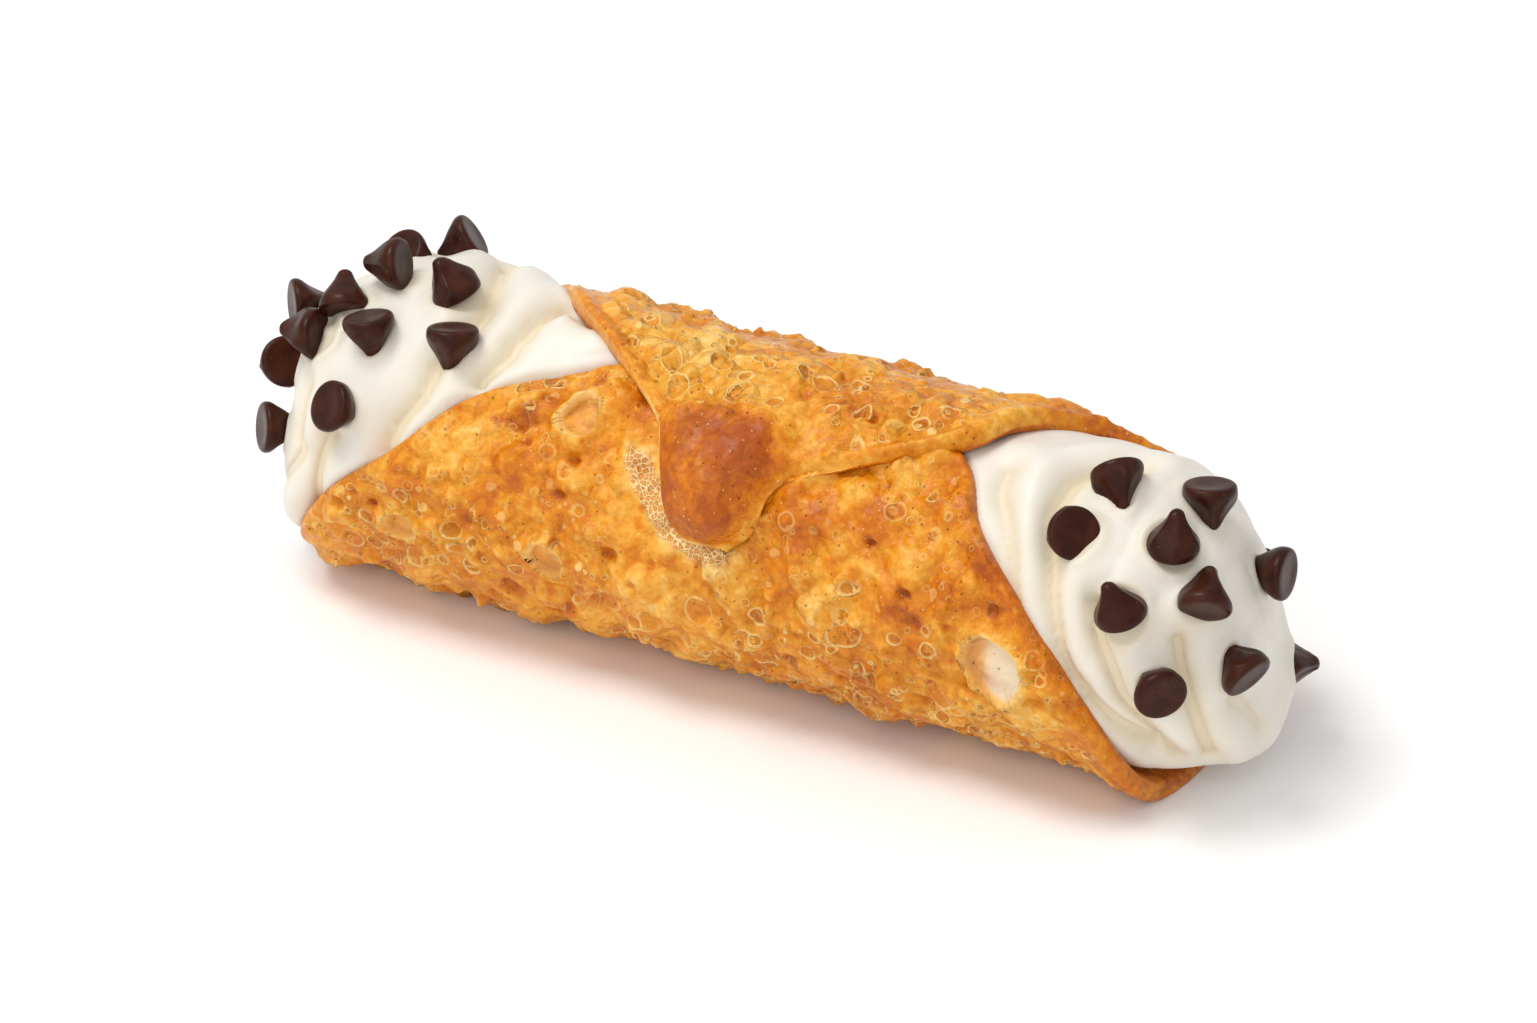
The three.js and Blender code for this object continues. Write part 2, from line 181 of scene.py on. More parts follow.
def scatter(seed, count, sizes):
    """Seeded marks spread over the whole sheet: along, around, size and chance of each."""
    rng = np.random.default_rng(seed)
    marks = []
    while len(marks) < count:
        around = rng.uniform(SHEET_END, SHEET_START)
        along = rng.uniform(-REACH, REACH)
        size = sizes[0] + (sizes[1] - sizes[0]) * rng.random() ** 2
        angle = np.array([around])
        if sheet_at(angle, 1)[0] + 1.5 < along < sheet_at(angle, 2)[0] - 1.5:
            marks.append([along, around, size, rng.random()])
    return marks


def away_from(marks, kept, margin):
    """Marks that don't fall on any of the kept ones."""
    def clear(mark):
        return all(math.hypot(mark[0] - k[0], arc_length(mark[1] - k[1])) > margin * (mark[2] + k[2])
                   for k in kept)
    return [mark for mark in marks if clear(mark)]


def patch(along, around, mark, reach):
    """The grid window round a mark, with each point's offset from its middle in millimetres."""
    arc = arc_length(around - mark[1])
    offset = along - mark[0]
    near = (np.abs(arc) < reach) & (np.abs(offset) < reach)
    return near, offset[near], arc[near]


def small_relief(along, around, rough):
    """Blisters that meet in creases, and dents between them: height in millimetres, and tone that paints
    light and shade by the relief, paler on the tops and darker between blisters and in the dents.
    """
    domes = np.zeros(along.shape)
    for x, angle, radius, chance in away_from(scatter(11, 560, (0.9, 4.2)), LUMPS[:7], 0.55):
        near, du, dv = patch(along, around, (x, angle), radius * 1.5)
        turn = chance * 40
        stretch = 1 + 0.7 * chance
        a = (du * math.cos(turn) + dv * math.sin(turn)) / (radius * stretch ** 0.5)
        b = (-du * math.sin(turn) + dv * math.cos(turn)) / (radius / stretch ** 0.5)
        wobble = 1 + 0.14 * np.sin(3 * np.arctan2(b, a) + 9 * chance)
        rise = 0.2 + 0.3 * radius * (0.3 + 0.7 * chance)
        domes[near] = np.maximum(domes[near], rise * dome(a, b, wobble, 1.1))
    pimples = np.zeros(along.shape)
    for x, angle, radius, chance in scatter(14, 760, (0.5, 1.4)):
        near, du, dv = patch(along, around, (x, angle), radius)
        rise = 0.1 + 0.3 * radius * chance
        pimples[near] = np.maximum(pimples[near], rise * dome(du, dv, radius))
    height = (1.45 * domes + 1.7 * pimples) * rough
    # Painted light and shade by the relief: paler on the tops of blisters and pimples, darker between the
    # blisters.
    tone = -0.35 * (domes - 0.4) - 0.6 * pimples
    for x, angle, radius, chance in away_from(scatter(12, 190, (0.7, 1.9)), LUMPS[:7], 0.8):
        near, du, dv = patch(along, around, (x, angle), radius)
        shape = dome(du, dv * 1.2, radius, 1.3)
        height[near] -= (0.4 + 0.6 * chance) * min(1, radius / 1.3) * shape * rough[near]
        # Painted shade: the dents are darkened.
        tone[near] += 0.8 * shape
    return height, tone


def all_bubbles():
    """Every bubble as along, around, radius, chance and kind: those listed, then scattered ones."""
    bubbles = [mark[:3] + [1] + (mark[3:] or ["ring"]) for mark in BUBBLES]
    bubbles += [mark + ["blister"] for mark in away_from(scatter(13, 420, (0.35, 1.35)), BUBBLES, 1.15)]
    behind = [mark for mark in scatter(15, 1000, (0.45, 1.7)) if FLAP_FROM < mark[1] < 76]
    return bubbles + [mark + ["ring"] for mark in away_from(behind, BUBBLES, 1.1)]


def add_bubbles(face, along, around, rough):
    """Stamps the bubbles into the face: height, tone, thin windows, the nearest rim and how light it is."""
    height, tone, window = face["height"], face["tone"], face["window"]
    rim, rim_light = face["rim"], face["rim_light"]
    for x, angle, radius, chance, kind in all_bubbles():
        near, du, dv = patch(along, around, (x, angle), radius * 2.2 + 0.8)
        turn = np.arctan2(dv, du)
        wobble = 1 + 0.1 * np.sin(2 * turn + x * 5) + 0.04 * np.sin(3 * turn + angle)
        off_middle = np.hypot(du, dv) / wobble
        gap = off_middle - radius
        flat = ease(0.25, -0.35, gap)
        local = rough[near]
        if kind == "ring":
            height[near] += (0.26 * bump_of(gap, 0.3) - 0.25 * flat) * local
            tone[near] += 0.25 * flat
            light = 0.6 + 0.7 * chance
        elif kind == "blister":
            height[near] += (0.1 + 0.22 * radius) * ease(radius, 0, off_middle) * local
            # Painted light: the blister's top is paler.
            tone[near] -= 0.3 * flat * local
            light = 0.45 * chance
        elif kind == "window":
            clear = 1.0 if radius > 3 else 0.45
            height[near] += 0.8 * bump_of(gap - 0.3, 0.6) - (0.5 + 0.5 * clear) * flat
            window[near] = np.maximum(window[near], clear * flat * (0.72 + 0.28 * np.tanh(du + 1.0)))
            tone[near] += 0.5 * clear * flat * ease(0.0, -radius, du) - 0.3 * bump_of(gap - 0.4, 0.5)
            light = 1.3
        else:
            height[near] += 0.12 * bump_of(gap, 0.3) - 0.8 * flat
            # Painted shade darkens the hollow's floor.
            tone[near] += 0.8 * flat
            light = 0.25
        gap = gap * (0.45 if kind == "window" else 1)
        closer = np.abs(gap) < np.abs(rim[near])
        broken = light * (0.62 + 0.38 * np.sin(turn + x * 7)) * (0.3 + 0.7 * local)
        rim[near] = np.where(closer, gap, rim[near])
        rim_light[near] = np.where(closer, broken, rim_light[near])


def add_lumps(face, along, around):
    """Stamps the large lumps into the face, with their browning."""
    for x, angle, radius, rise, brown in LUMPS:
        near, du, dv = patch(along, around, (x, angle), radius * 1.3)
        turn = np.arctan2(dv, du)
        wobble = 1 + 0.16 * np.sin(3 * turn + x) + 0.1 * np.sin(5 * turn + angle)
        shape = dome(du, dv, radius * wobble, 1.5)
        face["height"][near] += rise * shape
        face["tone"][near] += brown * np.sqrt(shape)


def add_tab(face, along, around, on_flap, on_tab):
    """Puffs and browns the tab, sinks its right side into the sheet below and pales its raw edge."""
    arc = arc_length(around)
    left, right = sheet_at(around, 1), sheet_at(around, 2)
    tab_edge = np.minimum(np.minimum(along - left, right - along), arc_length(around - SHEET_END))
    across, down = np.abs(along - TAB["along"]), np.abs(arc_length(around - TAB["around"]))
    tab_off = (across ** TAB["power"] + down ** TAB["power"]) ** (1 / TAB["power"]) / TAB["radius"]
    tab_off = tab_off + 0.06 * noise(along, arc, 4, 18)
    pillow = np.sqrt(np.clip(1 - (1 - np.clip(tab_edge / TAB["pillow"], 0, 1)) ** 2, 0, 1))
    puff = on_flap * pillow * np.clip(1 - tab_off ** 2, 0, 1) ** 1.1
    wrinkles = 0.5 * noise(along, arc, 3.4, 14) + 0.25 * noise(along, arc, 1.6, 17)
    tab_right = on_tab * ease(4.4, 0, right - along)
    face["height"] += (TAB["puff"] + wrinkles) * puff - 1.7 * tab_right
    face["height"] += 0.12 * noise(along, arc, 1.1, 22) * on_tab
    blotches = 1 + 0.3 * noise(along, arc, 3.4, 15)
    face["tone"] += on_flap * TAB["brown"] * ease(1.08, 0.5, tab_off) * blotches
    face["tone"] += 0.05 - 0.5 * tab_right - 0.22 * on_flap * (1 - on_tab)
    # The raw edge of the dough is a thin pale line down the left of the flap and round the tab.
    raw = np.where(around > -215, along - left, tab_edge) - 0.3
    on_raw = on_flap * (np.abs(raw) < np.abs(face["rim"])) * ease(4, -2, along) * (0.25 + 0.9 * on_tab)
    face["rim"] = np.where(on_raw > 0.1, 0.5 * raw, face["rim"])
    face["rim_light"] = np.where(on_raw > 0.1, 1.4 * on_raw, face["rim_light"])


def add_foam(face, along, around):
    """The band of foam beside the tab, and the paler dough along it."""
    arc = arc_length(around)
    off_line = line_distance(np.stack([along, arc], -1), FOAM_LINE * [1, RAD * TUBE_RADIUS])
    off_line = off_line + 0.5 * noise(along, arc, 1.3, 16)
    on_front = (around > 90) & (around < 140)
    face["foam"] = np.where(on_front, ease(2.1, 1.1, off_line), 0)
    face["tone"] -= 0.6 * np.where(on_front, ease(3.6, 1.6, off_line), 0)


def crust(along, around):
    """The outside of the dough as fields: its height in millimetres, and what colours it."""
    arc = arc_length(around)
    left, right = sheet_at(around, 1), sheet_at(around, 2)
    edge = np.minimum(along - left, right - along)
    on_flap = ease(FLAP_FROM, FLAP_FROM - 25, around)
    on_tab = ease(*TAB_ZONE, around)
    right_band = (1 - on_flap) * ease(5.5, 1.0, right - along)
    rim_zone = on_flap * ease(4.4, 2.4, edge) + (1 - on_flap) * np.maximum(
        0.5 * ease(3.2, 1.2, right - along), 0.4 * ease(2.0, 0.5, along - left))
    rough = 1 - np.clip(np.maximum(rim_zone, 0.85 * on_tab), 0, 0.9)
    rough = np.clip(rough - 0.25 * on_flap * ease(-190, -170, around), 0.1, 1)
    tone = 0.24 * noise(along, arc, 11, 3) + 0.2 * noise(along, arc, 4.2, 4)
    tone += 0.2 * noise(along, arc, 1.9, 5)
    height, relief_shading = small_relief(along, around, rough)
    # The relief's painted light and shade goes into the tone.
    tone += relief_shading * (0.3 + 0.7 * rough)
    face = {"height": height, "tone": tone, "window": np.zeros(along.shape),
            "rim": np.full(along.shape, 9.0), "rim_light": np.zeros(along.shape)}
    add_bubbles(face, along, around, rough)
    face["height"] += 0.42 * noise(along, arc, 9, 1) * rough + 0.3 * noise(along, arc, 4.6, 2) * rough
    add_lumps(face, along, around)
    add_tab(face, along, around, on_flap, on_tab)
    add_foam(face, along, around)
    face["tone"] += (1 - on_tab) * (0.25 * rim_zone + 0.38 * right_band)
    # A rolled bead along the free edges of the flap, a faint groove inside it, and a low bead at the right.
    bead = (1 - on_tab) * (0.7 * bump_of(edge - 1.5, 1.5) - 0.15 * bump_of(edge - 4.0, 0.9))
    face["height"] += on_flap * bead + (1 - on_flap) * 0.3 * bump_of(right - along - 1.0, 1.1)
    face["height"] += 0.05 * noise(along, arc, 1.0, 6) + 0.13 * noise(along, arc, 1.9, 19) * rough
    face["rim"] = np.clip(face["rim"], -4, 4)
    # Small bubbles crowd the flap and the low front, in patches.
    crowded = 0.45 + 0.55 * np.maximum(on_flap, ease(100, 80, around))
    patches = ease(-0.7, 0.2, noise(along, arc, 8, 23)) * crowded
    plain = (1 - face["foam"]) * (1 - ease(0, 0.2, face["window"])) * (1 - on_tab)
    face["bubbly"] = patches * rough * plain
    return face


def line_distance(points, line):
    """Distance from each point to a line through the given corners."""
    best = np.full(points.shape[:-1], 1e9)
    for a, b in zip(line[:-1], line[1:]):
        ab = b - a
        t = np.clip(((points - a) @ ab) / (ab @ ab), 0, 1)
        best = np.minimum(best, np.linalg.norm(points - a - t[..., None] * ab, axis=-1))
    return best


# -------- meshes
def ring_quads(count, size):
    """Faces between neighbouring rings of a grid of points."""
    row = np.arange(count - 1)[:, None] * size
    k = np.arange(size)[None, :]
    following = (k + 1) % size
    return np.stack([row + k, row + size + k, row + size + following, row + following], -1).reshape(-1, 4)


def corner_uv(u, v):
    """The flat layout for each corner of the quads and of the two end faces."""
    uv = np.stack([u, v], -1)
    quads = np.stack([uv[:-1, :-1], uv[1:, :-1], uv[1:, 1:], uv[:-1, 1:]], 2).reshape(-1, 2)
    return np.concatenate([quads, uv[0, :-1], uv[-1, :-1][::-1]])


def make_object(name, rings, fields, material, uv=None):
    """A closed smooth mesh from rings of points in millimetres, with flat ends if it has uv, else fans."""
    count, size = rings.shape[:2]
    points = rings.reshape(-1, 3) * MM
    low, high = np.arange(size), (count - 1) * size + np.arange(size)
    faces = ring_quads(count, size).tolist()
    if uv is not None:
        faces += [low.tolist(), high[::-1].tolist()]
    else:
        base = len(points)
        points = np.vstack([points, rings[0].mean(0) * MM, rings[-1].mean(0) * MM])
        faces += [[base, int(a), int(b)] for a, b in zip(low, np.roll(low, -1))]
        faces += [[base + 1, int(b), int(a)] for a, b in zip(high, np.roll(high, -1))]
        fields = {key: np.append(values, [values[:size].mean(), values[-size:].mean()])
                  for key, values in fields.items()}
    mesh = bpy.data.meshes.new(name)
    mesh.from_pydata(points.tolist(), [], faces)
    mesh.update()
    for key, values in fields.items():
        attribute = mesh.attributes.new(key, "FLOAT", "POINT")
        attribute.data.foreach_set("value", np.ascontiguousarray(values, np.float32))
    if uv is not None:
        layer = mesh.uv_layers.new(name="OFBake")
        layer.data.foreach_set("uv", corner_uv(*uv).astype(np.float32).ravel())
    mesh.polygons.foreach_set("use_smooth", [True] * len(mesh.polygons))
    mesh.materials.append(material)
    piece = bpy.data.objects.new(name, mesh)
    bpy.context.scene.collection.objects.link(piece)
    return piece


# -------- dough
SHELL_ROWS = 330  # around the winding
OUTER_COLUMNS = 246  # along the outside
INNER_COLUMNS = 22  # along the inside
ARC_STEPS = 5  # round each edge
TAPER = 10  # degrees over which both ends of the sheet thin out
ROUNDED = 2.6  # degrees over which both ends are rounded
COVERED_SINK = -0.15  # height of the crust where the flap covers it
# The lip at the low right end: where it curls outward, and by how much.
LIP = {"around": 40, "reach": 48, "from": 46, "to": 58, "flare": 1.8}
# The flat layout for baking: its margin, the width of the outside of the dough, and the span of the inside.
UV_MARGIN, OUTER_WIDTH, INNER_SPAN = 0.01, 0.76, (0.78, 0.99)


def lip_flare(along, around):
    """How far the lip at the low right end curls outward."""
    width = ease(LIP["reach"], 0, np.abs(around - LIP["around"]))
    return LIP["flare"] * ease(LIP["from"], LIP["to"], along) * width


def shell_angles():
    """Angles of the rows, closer together on the front, on top and near both ends of the sheet."""
    fine = np.linspace(SHEET_START, SHEET_END, 4000)
    weight = np.where((fine > 20) | (fine < -140), 1.0, 0.62)
    weight = weight + 3.5 * bump_of(fine - SHEET_START, 1.6) + 3.5 * bump_of(fine - SHEET_END, 2.4)
    total = np.concatenate([[0], np.cumsum(0.5 * (weight[1:] + weight[:-1]))])
    return np.interp(np.linspace(0, total[-1], SHELL_ROWS + 1), total, fine)


def ends_distance(around):
    """Degrees from each angle to the nearer end of the sheet."""
    return np.minimum(SHEET_START - around, around - SHEET_END)


def shell_section(around, share):
    """The sheet from left to right at each row: place along the tube, lift (0 at its edges and 1 between
    them), the middle of its thickness and half its thickness."""
    left, right, outside = (sheet_at(around, column) for column in (1, 2, 3))
    from_end = ends_distance(around)
    rounding = np.sqrt(np.clip(1 - (1 - np.clip(from_end / ROUNDED, 0, 1)) ** 2, 0, 1))
    thick = DOUGH * (0.55 + 0.45 * ease(0, TAPER, from_end))
    middle = outside - DOUGH + thick / 2
    half = thick / 2 * (0.12 + 0.88 * rounding)
    bevel = np.minimum(1.0, (right - left) / 5)
    turn = np.linspace(0, 90, ARC_STEPS, endpoint=False) * RAD
    inset, lift = bevel * (1 - np.cos(turn)), np.sin(turn) + 0 * left
    flat = left + bevel + (right - left - 2 * bevel) * share
    along = np.hstack([left + inset, flat, right - inset[:, ::-1]])
    lift = np.hstack([lift, np.ones((len(around), share.shape[1])), lift[:, ::-1]])
    return along, lift, middle, half


def shell_outside(around):
    """Points on the outside of the sheet, their places along the tube and their fields."""
    share = np.linspace(0, 1, OUTER_COLUMNS + 1)[None, :]
    share = 0.75 * share + 0.25 * (0.5 - 0.5 * np.cos(np.pi * share))
    along, lift, middle, half = shell_section(around, share)
    angle = around + 0 * along
    covered = ((angle > COVERED_FROM) & (along > sheet_at(angle - 360, 1) + 1.5)
               & (along < sheet_at(angle - 360, 2) - 1.5))
    fields = crust(along, angle)
    height = np.where(covered, COVERED_SINK, fields.pop("height"))
    height = height * (0.25 + 0.75 * ease(0, 4, ends_distance(around)))
    points = tube_point(along, angle, middle + half * lift + height * lift + lip_flare(along, angle))
    return points, along, fields


def shell_inside(around, keys):
    """Points on the inside of the sheet, from its right edge to its left, and plain fields for them."""
    along, lift, middle, half = shell_section(around, np.linspace(0, 1, INNER_COLUMNS + 1)[None, :])
    along, lift = along[:, -2:0:-1], lift[:, -2:0:-1]
    angle = around + 0 * along
    ripple = 0.12 * noise(along, arc_length(angle), 3.0, 8) * lift
    points = tube_point(along, angle, middle - half * lift + ripple - 0.1 * lift + lip_flare(along, angle))
    fields = {key: np.zeros(along.shape) for key in keys}
    fields["tone"] += 0.75 + 0.4 * noise(along, arc_length(angle), 4.0, 9)
    fields["rim"] += 4
    return points, fields


def shell_piece(material):
    """The dough: one sheet with rounded edges, wound round the cream, with its crust on the outside."""
    around = shell_angles()[:, None]
    outer, along, fields = shell_outside(around)
    inner, inner_fields = shell_inside(around, fields)
    rings = np.concatenate([outer, inner], axis=1)
    rings[..., 2] = np.maximum(rings[..., 2], 0)
    joined = {key: np.concatenate([fields[key], inner_fields[key]], axis=1).ravel() for key in fields}
    outer_u = UV_MARGIN + OUTER_WIDTH * (along + REACH) / (2 * REACH)
    inner_u = np.linspace(*INNER_SPAN, inner.shape[1] + 1)[None, :] + 0 * around
    u = np.concatenate([outer_u, inner_u], axis=1)
    v = UV_MARGIN + (1 - 2 * UV_MARGIN) * (SHEET_START - around) / (SHEET_START - SHEET_END) + 0 * u
    return make_object("shell_crust", rings, joined, material, (u, v))


# -------- cream
CREAM_AROUND = 300  # points in each ring
CAP_STEPS = 108  # rings on each end
ROW_STEP = 0.55  # between rings where the cream meets the dough
CORE_ROWS = (-12, 2, 16)  # rings deep inside, where nothing shows
TIP = 3  # degrees off the tip where the rings of an end start
FOLD_DEPTH = 0.32
WAVE_RADIUS = 18  # turns degrees around the cream into a length, for its faint waves
MEETING = 1.1  # how softly the cream gives way to the dough
BULGE = 3.6  # radius of the bulge where the cream meets the cut edge of the dough
NO_DOUGH = 99.0  # a radius that stands for no dough in the way
ABOVE_FLOOR = 0.05
# How far the cream stands off the dough at the low right end, and where.
LIP_GAP = {"around": 44, "full": 8, "reach": 38, "from": 48, "to": 55, "gap": 0.5}
# Creases where one piped fold lies on the next: points as along, around and radius, then depth and width.
CREASES = [
    ([[-24, 176, 18.8], [-29, 184, 18.7], [-31, 172, 19.4], [-31.5, 161, 19.4], [-32, 151, 19.1],
      [-34, 140, 17.9]], 1.5, 1.3),
    ([[-44, 215, 20], [-42, 200, 20.1], [-39, 179, 20], [-38, 165, 19.6], [-39, 148, 18.9],
      [-40, 141, 19.1], [-41, 128, 18.7], [-43, 117, 17.5], [-44, 104, 16.8]], 1.3, 1.5),
    ([[-52, 106, 18.1], [-54, 90, 17.8], [-54.5, 75, 17.1], [-55, 55, 17]], 1.2, 1.4),
    ([[-58, 120, 17.6], [-58, 100, 17.6], [-57, 92, 17.9], [-61, 72, 16.4], [-62, 50, 16]], 0.8, 1.4),
    ([[48, 182, 18], [43, 172, 18.2], [42, 158, 18.1], [42, 148, 18.2], [43, 138, 18], [44, 130, 18],
      [46, 111, 17.6], [47.5, 96, 17.1], [50, 85, 17.3], [53.5, 71, 17.4], [57, 50, 16.6]], 1.3, 1.2),
    ([[34, 160, 17.7], [35, 149, 17.7], [38, 137, 17.4], [40, 121, 17.1], [41, 108, 17]], 0.8, 1.3),
    ([[50, 120, 17.8], [52, 106, 17.6], [54, 94, 17.7], [55, 83, 17.3], [57.5, 65, 16.1],
      [59, 42, 16.1]], 1.3, 1.1),
    ([[61, 112, 14.8], [62, 97, 14], [63, 80, 13.9], [63, 57, 14.1], [62.5, 35, 14.6]], 1.1, 1.2),
    ([[66, 60, 8.5], [67, 31, 8], [66.8, 12, 10.3]], 0.7, 1.2),
]
# Swollen folds between them: points, height and width.
FOLDS = [
    ([[-33, 150, 19], [-31, 160, 19], [-27, 168, 19], [-22, 172, 19]], 0.5, 3.0),
    ([[-37, 132, 18], [-40, 118, 18], [-42, 104, 17]], 0.7, 2.6),
    ([[-51, 92, 17.5], [-52, 78, 17.3]], 0.5, 2.6),
    ([[36, 170, 18], [38, 160, 18], [39, 140, 17.6], [42, 112, 17.4]], 0.6, 3.2),
]


def room_inside(along, around):
    """The largest radius that clears the dough at each place, or NO_DOUGH away from it."""
    room = np.full(np.broadcast(along, around).shape, NO_DOUGH)
    for back in (0, 360):
        turn = around - back + 0 * along
        on_sheet = (turn <= SHEET_START) & (turn >= SHEET_END)
        angle = np.clip(turn, SHEET_END, SHEET_START)
        beyond = np.maximum(np.maximum(sheet_at(angle, 1) - along, along - sheet_at(angle, 2)), 0)
        bulge = np.clip((beyond + 0.35) / BULGE, 0, 1)
        limit = sheet_at(angle, 3) - DOUGH - 0.25 + BULGE * np.sqrt(1 - (1 - bulge) ** 2)
        limit = limit + np.maximum(0, beyond - BULGE)
        room = np.where(on_sheet, np.minimum(room, limit), room)
    return room


def coil_crease(cap, from_tip, around):
    """Depth of the crease between the turns of the piped coil."""
    phase = from_tip / cap["pitch"] + cap["side"] * around / 360
    return FOLD_DEPTH * (1 - np.sqrt(np.sin(np.pi * phase) ** 2 + 0.02)) * ease(0, 5, from_tip)


def fullness(cap, off, around):
    """How far an end stands out beyond a plain dome: its folds, less the slope at the upper back."""
    height = 0 * around
    for side, lobe_off, lobe_around, spread_off, spread_around, rise in LOBES:
        if side == cap["side"]:
            turn = (around - lobe_around + 540) % 360 - 180
            height = height + rise * bump_of(off - lobe_off, spread_off) * bump_of(turn, spread_around)
    if cap["side"] > 0:
        high_back = np.maximum(0, np.cos((around - 225) * RAD))
        height = height - 1.5 * high_back * np.sin(2 * off * RAD)
    return height


def swelling(cap, along, around):
    """The swelling where the cream at the left wells up over the cut of the shell."""
    if cap["side"] > 0:
        return 0
    high = np.maximum(0, np.cos((around - 205) * RAD))
    return high * (2.2 * ease(-56, -43, along) - 0.8 * ease(-42, -36, along))


def lip_room(along, around):
    """How far the cream stands off the dough at the low right end."""
    width = ease(LIP_GAP["reach"], LIP_GAP["full"], np.abs(around - LIP_GAP["around"]))
    return LIP_GAP["gap"] * width * ease(LIP_GAP["from"], LIP_GAP["to"], along)


def smooth_line(points, steps=8):
    """A smooth curve through points."""
    points = np.array(points, float)
    ahead = np.vstack([2 * points[0] - points[1], points, 2 * points[-1] - points[-2]])
    out = []
    for i in range(1, len(ahead) - 2):
        p0, p1, p2, p3 = ahead[i - 1:i + 3]
        for t in np.linspace(0, 1, steps, endpoint=False):
            out.append(0.5 * (2 * p1 + (p2 - p0) * t + (2 * p0 - 5 * p1 + 4 * p2 - p3) * t * t
                              + (3 * p1 - p0 - 3 * p2 + p3) * t ** 3))
    out.append(points[-1])
    return np.array(out)


def line_on(rings, points):
    """A smooth line through points given as along, around and radius, laid on the nearest of the rings."""
    path = smooth_line(points)
    line = tube_point(path[:, 0], path[:, 1], path[:, 2])
    surface = rings.reshape(-1, 3)
    line = np.array([surface[np.argmin(((surface - point) ** 2).sum(1))] for point in line])
    for _ in range(4):
        line[1:-1] = 0.25 * line[:-2] + 0.5 * line[1:-1] + 0.25 * line[2:]
    return line


def cream_rows():
    """Rings of the cream as cap, angle off the tip and place along the tube."""
    left, right = CAPS["left"], CAPS["right"]
    offs = TIP + (90 - TIP) * np.arange(CAP_STEPS) / CAP_STEPS
    rows = [(left, off, left["x"]) for off in offs]
    rows += [(left, 90, x) for x in np.arange(left["x"], left["hidden"], ROW_STEP)]
    rows += [(None, 90, x) for x in CORE_ROWS]
    rows += [(right, 90, x) for x in np.arange(right["hidden"], right["x"], ROW_STEP)]
    rows += [(right, off, right["x"]) for off in offs[::-1]]
    return rows


def cream_rings():
    """The filling as rings of points: a plain core and two domed ends with their coils and lobes."""
    around = np.arange(CREAM_AROUND) * 360 / CREAM_AROUND
    rings = []
    for cap, off, x in cream_rows():
        if cap is None:
            radius = np.minimum(CORE_RADIUS, room_inside(x, around))
            rings.append(tube_point(x, around, radius))
            continue
        from_tip = off * RAD * cap["radius"] + abs(x - cap["x"])
        relief = fullness(cap, off, around) - coil_crease(cap, from_tip, around)
        place = x + cap["side"] * np.cos(off * RAD) * (cap["depth"] + relief)
        full = np.sin(off * RAD) * (cap["radius"] + relief) + swelling(cap, place, around)
        rings.append(tube_point(place, around, full))
    return np.array(rings)


def fold_cream(rings, chips):
    """Presses in creases, swells folds and raises cream round the chips. Also gives fields for the painted
    shade in the creases and round the chips.
    """
    heart = 0 * rings + [0, 0, AXIS_HEIGHT]
    heart[..., 0] = np.clip(rings[..., 0], CAPS["left"]["x"], CAPS["right"]["x"])
    outward = rings - heart
    outward /= np.linalg.norm(outward, axis=-1, keepdims=True)
    crease_shade = np.zeros(rings.shape[:2])
    move = np.zeros(rings.shape[:2])
    for points, depth, width in CREASES:
        line = line_on(rings, points)
        distance = np.sqrt(np.maximum(line_distance(rings, line) ** 2 - 0.5, 0))
        beside = 0.5 * depth * bump_of(distance - 3.9, 2.6)
        move -= 1.35 * depth * np.exp(-distance / (1.2 * width)) - beside
        # Painted shade: this field tints the cream darker yellow in its creases.
        crease_shade = np.maximum(crease_shade, np.exp(-distance / 1.5) * min(1, depth))
    for points, height, width in FOLDS:
        move += height * bump_of(line_distance(rings, line_on(rings, points)), width)
    move += 0.06 * noise(rings[..., 0] * 0.6, arc_length(angle_of(outward), WAVE_RADIUS), 5, 21)
    halo = np.zeros(rings.shape[:2])
    for chip in chips:
        distance = chip_distance(rings, chip)
        move += 0.4 * bump_of(distance - 0.5, 0.7) * ease(-1.2, 0.2, distance)
        # Painted shade on the cream round each chip.
        halo = np.maximum(halo, np.exp(-np.maximum(distance, 0) / 1.1))
    return rings + outward * move[..., None], {"crease_shade": crease_shade.ravel(), "halo": halo.ravel()}


def hold_in_dough(rings):
    """Keeps the cream inside the dough, softly where the two meet, and above the floor."""
    offset = rings - [0, 0, AXIS_HEIGHT]
    radius = np.hypot(offset[..., 1], offset[..., 2])
    turn = angle_of(offset) % 360
    room = room_inside(rings[..., 0], turn) - lip_room(rings[..., 0], turn)
    blend = np.clip(0.5 + (room - radius) / (2 * MEETING), 0, 1)
    held = room * (1 - blend) + radius * blend - MEETING * blend * (1 - blend)
    held = np.where(room > NO_DOUGH - 1, radius, held)
    scale = held / np.maximum(radius, 1e-6)
    rings[..., 1] *= scale
    rings[..., 2] = np.maximum(AXIS_HEIGHT + offset[..., 2] * scale, ABOVE_FLOOR)
    return rings


def cream_piece(material, chips):
    """The filling from end to end, with its piped folds and the rise of cream round each chip."""
    rings, fields = fold_cream(cream_rings(), chips)
    return make_object("cream_filling", hold_in_dough(rings), fields, material)


# -------- chips
# A chip from the middle of its base to its tip: radius and height.
CHIP_PROFILE = np.array([
    [0.0, 0.05], [1.3, 0.04], [2.3, 0.0], [2.85, 0.06], [3.12, 0.3], [3.2, 0.75], [3.1, 1.3], [2.76, 1.95],
    [2.26, 2.7], [1.76, 3.45], [1.34, 4.15], [1.06, 4.75], [0.85, 5.2], [0.52, 5.47], [0.2, 5.58],
])
CHIP_HEIGHT = 5.6
CHIP_AROUND = 44


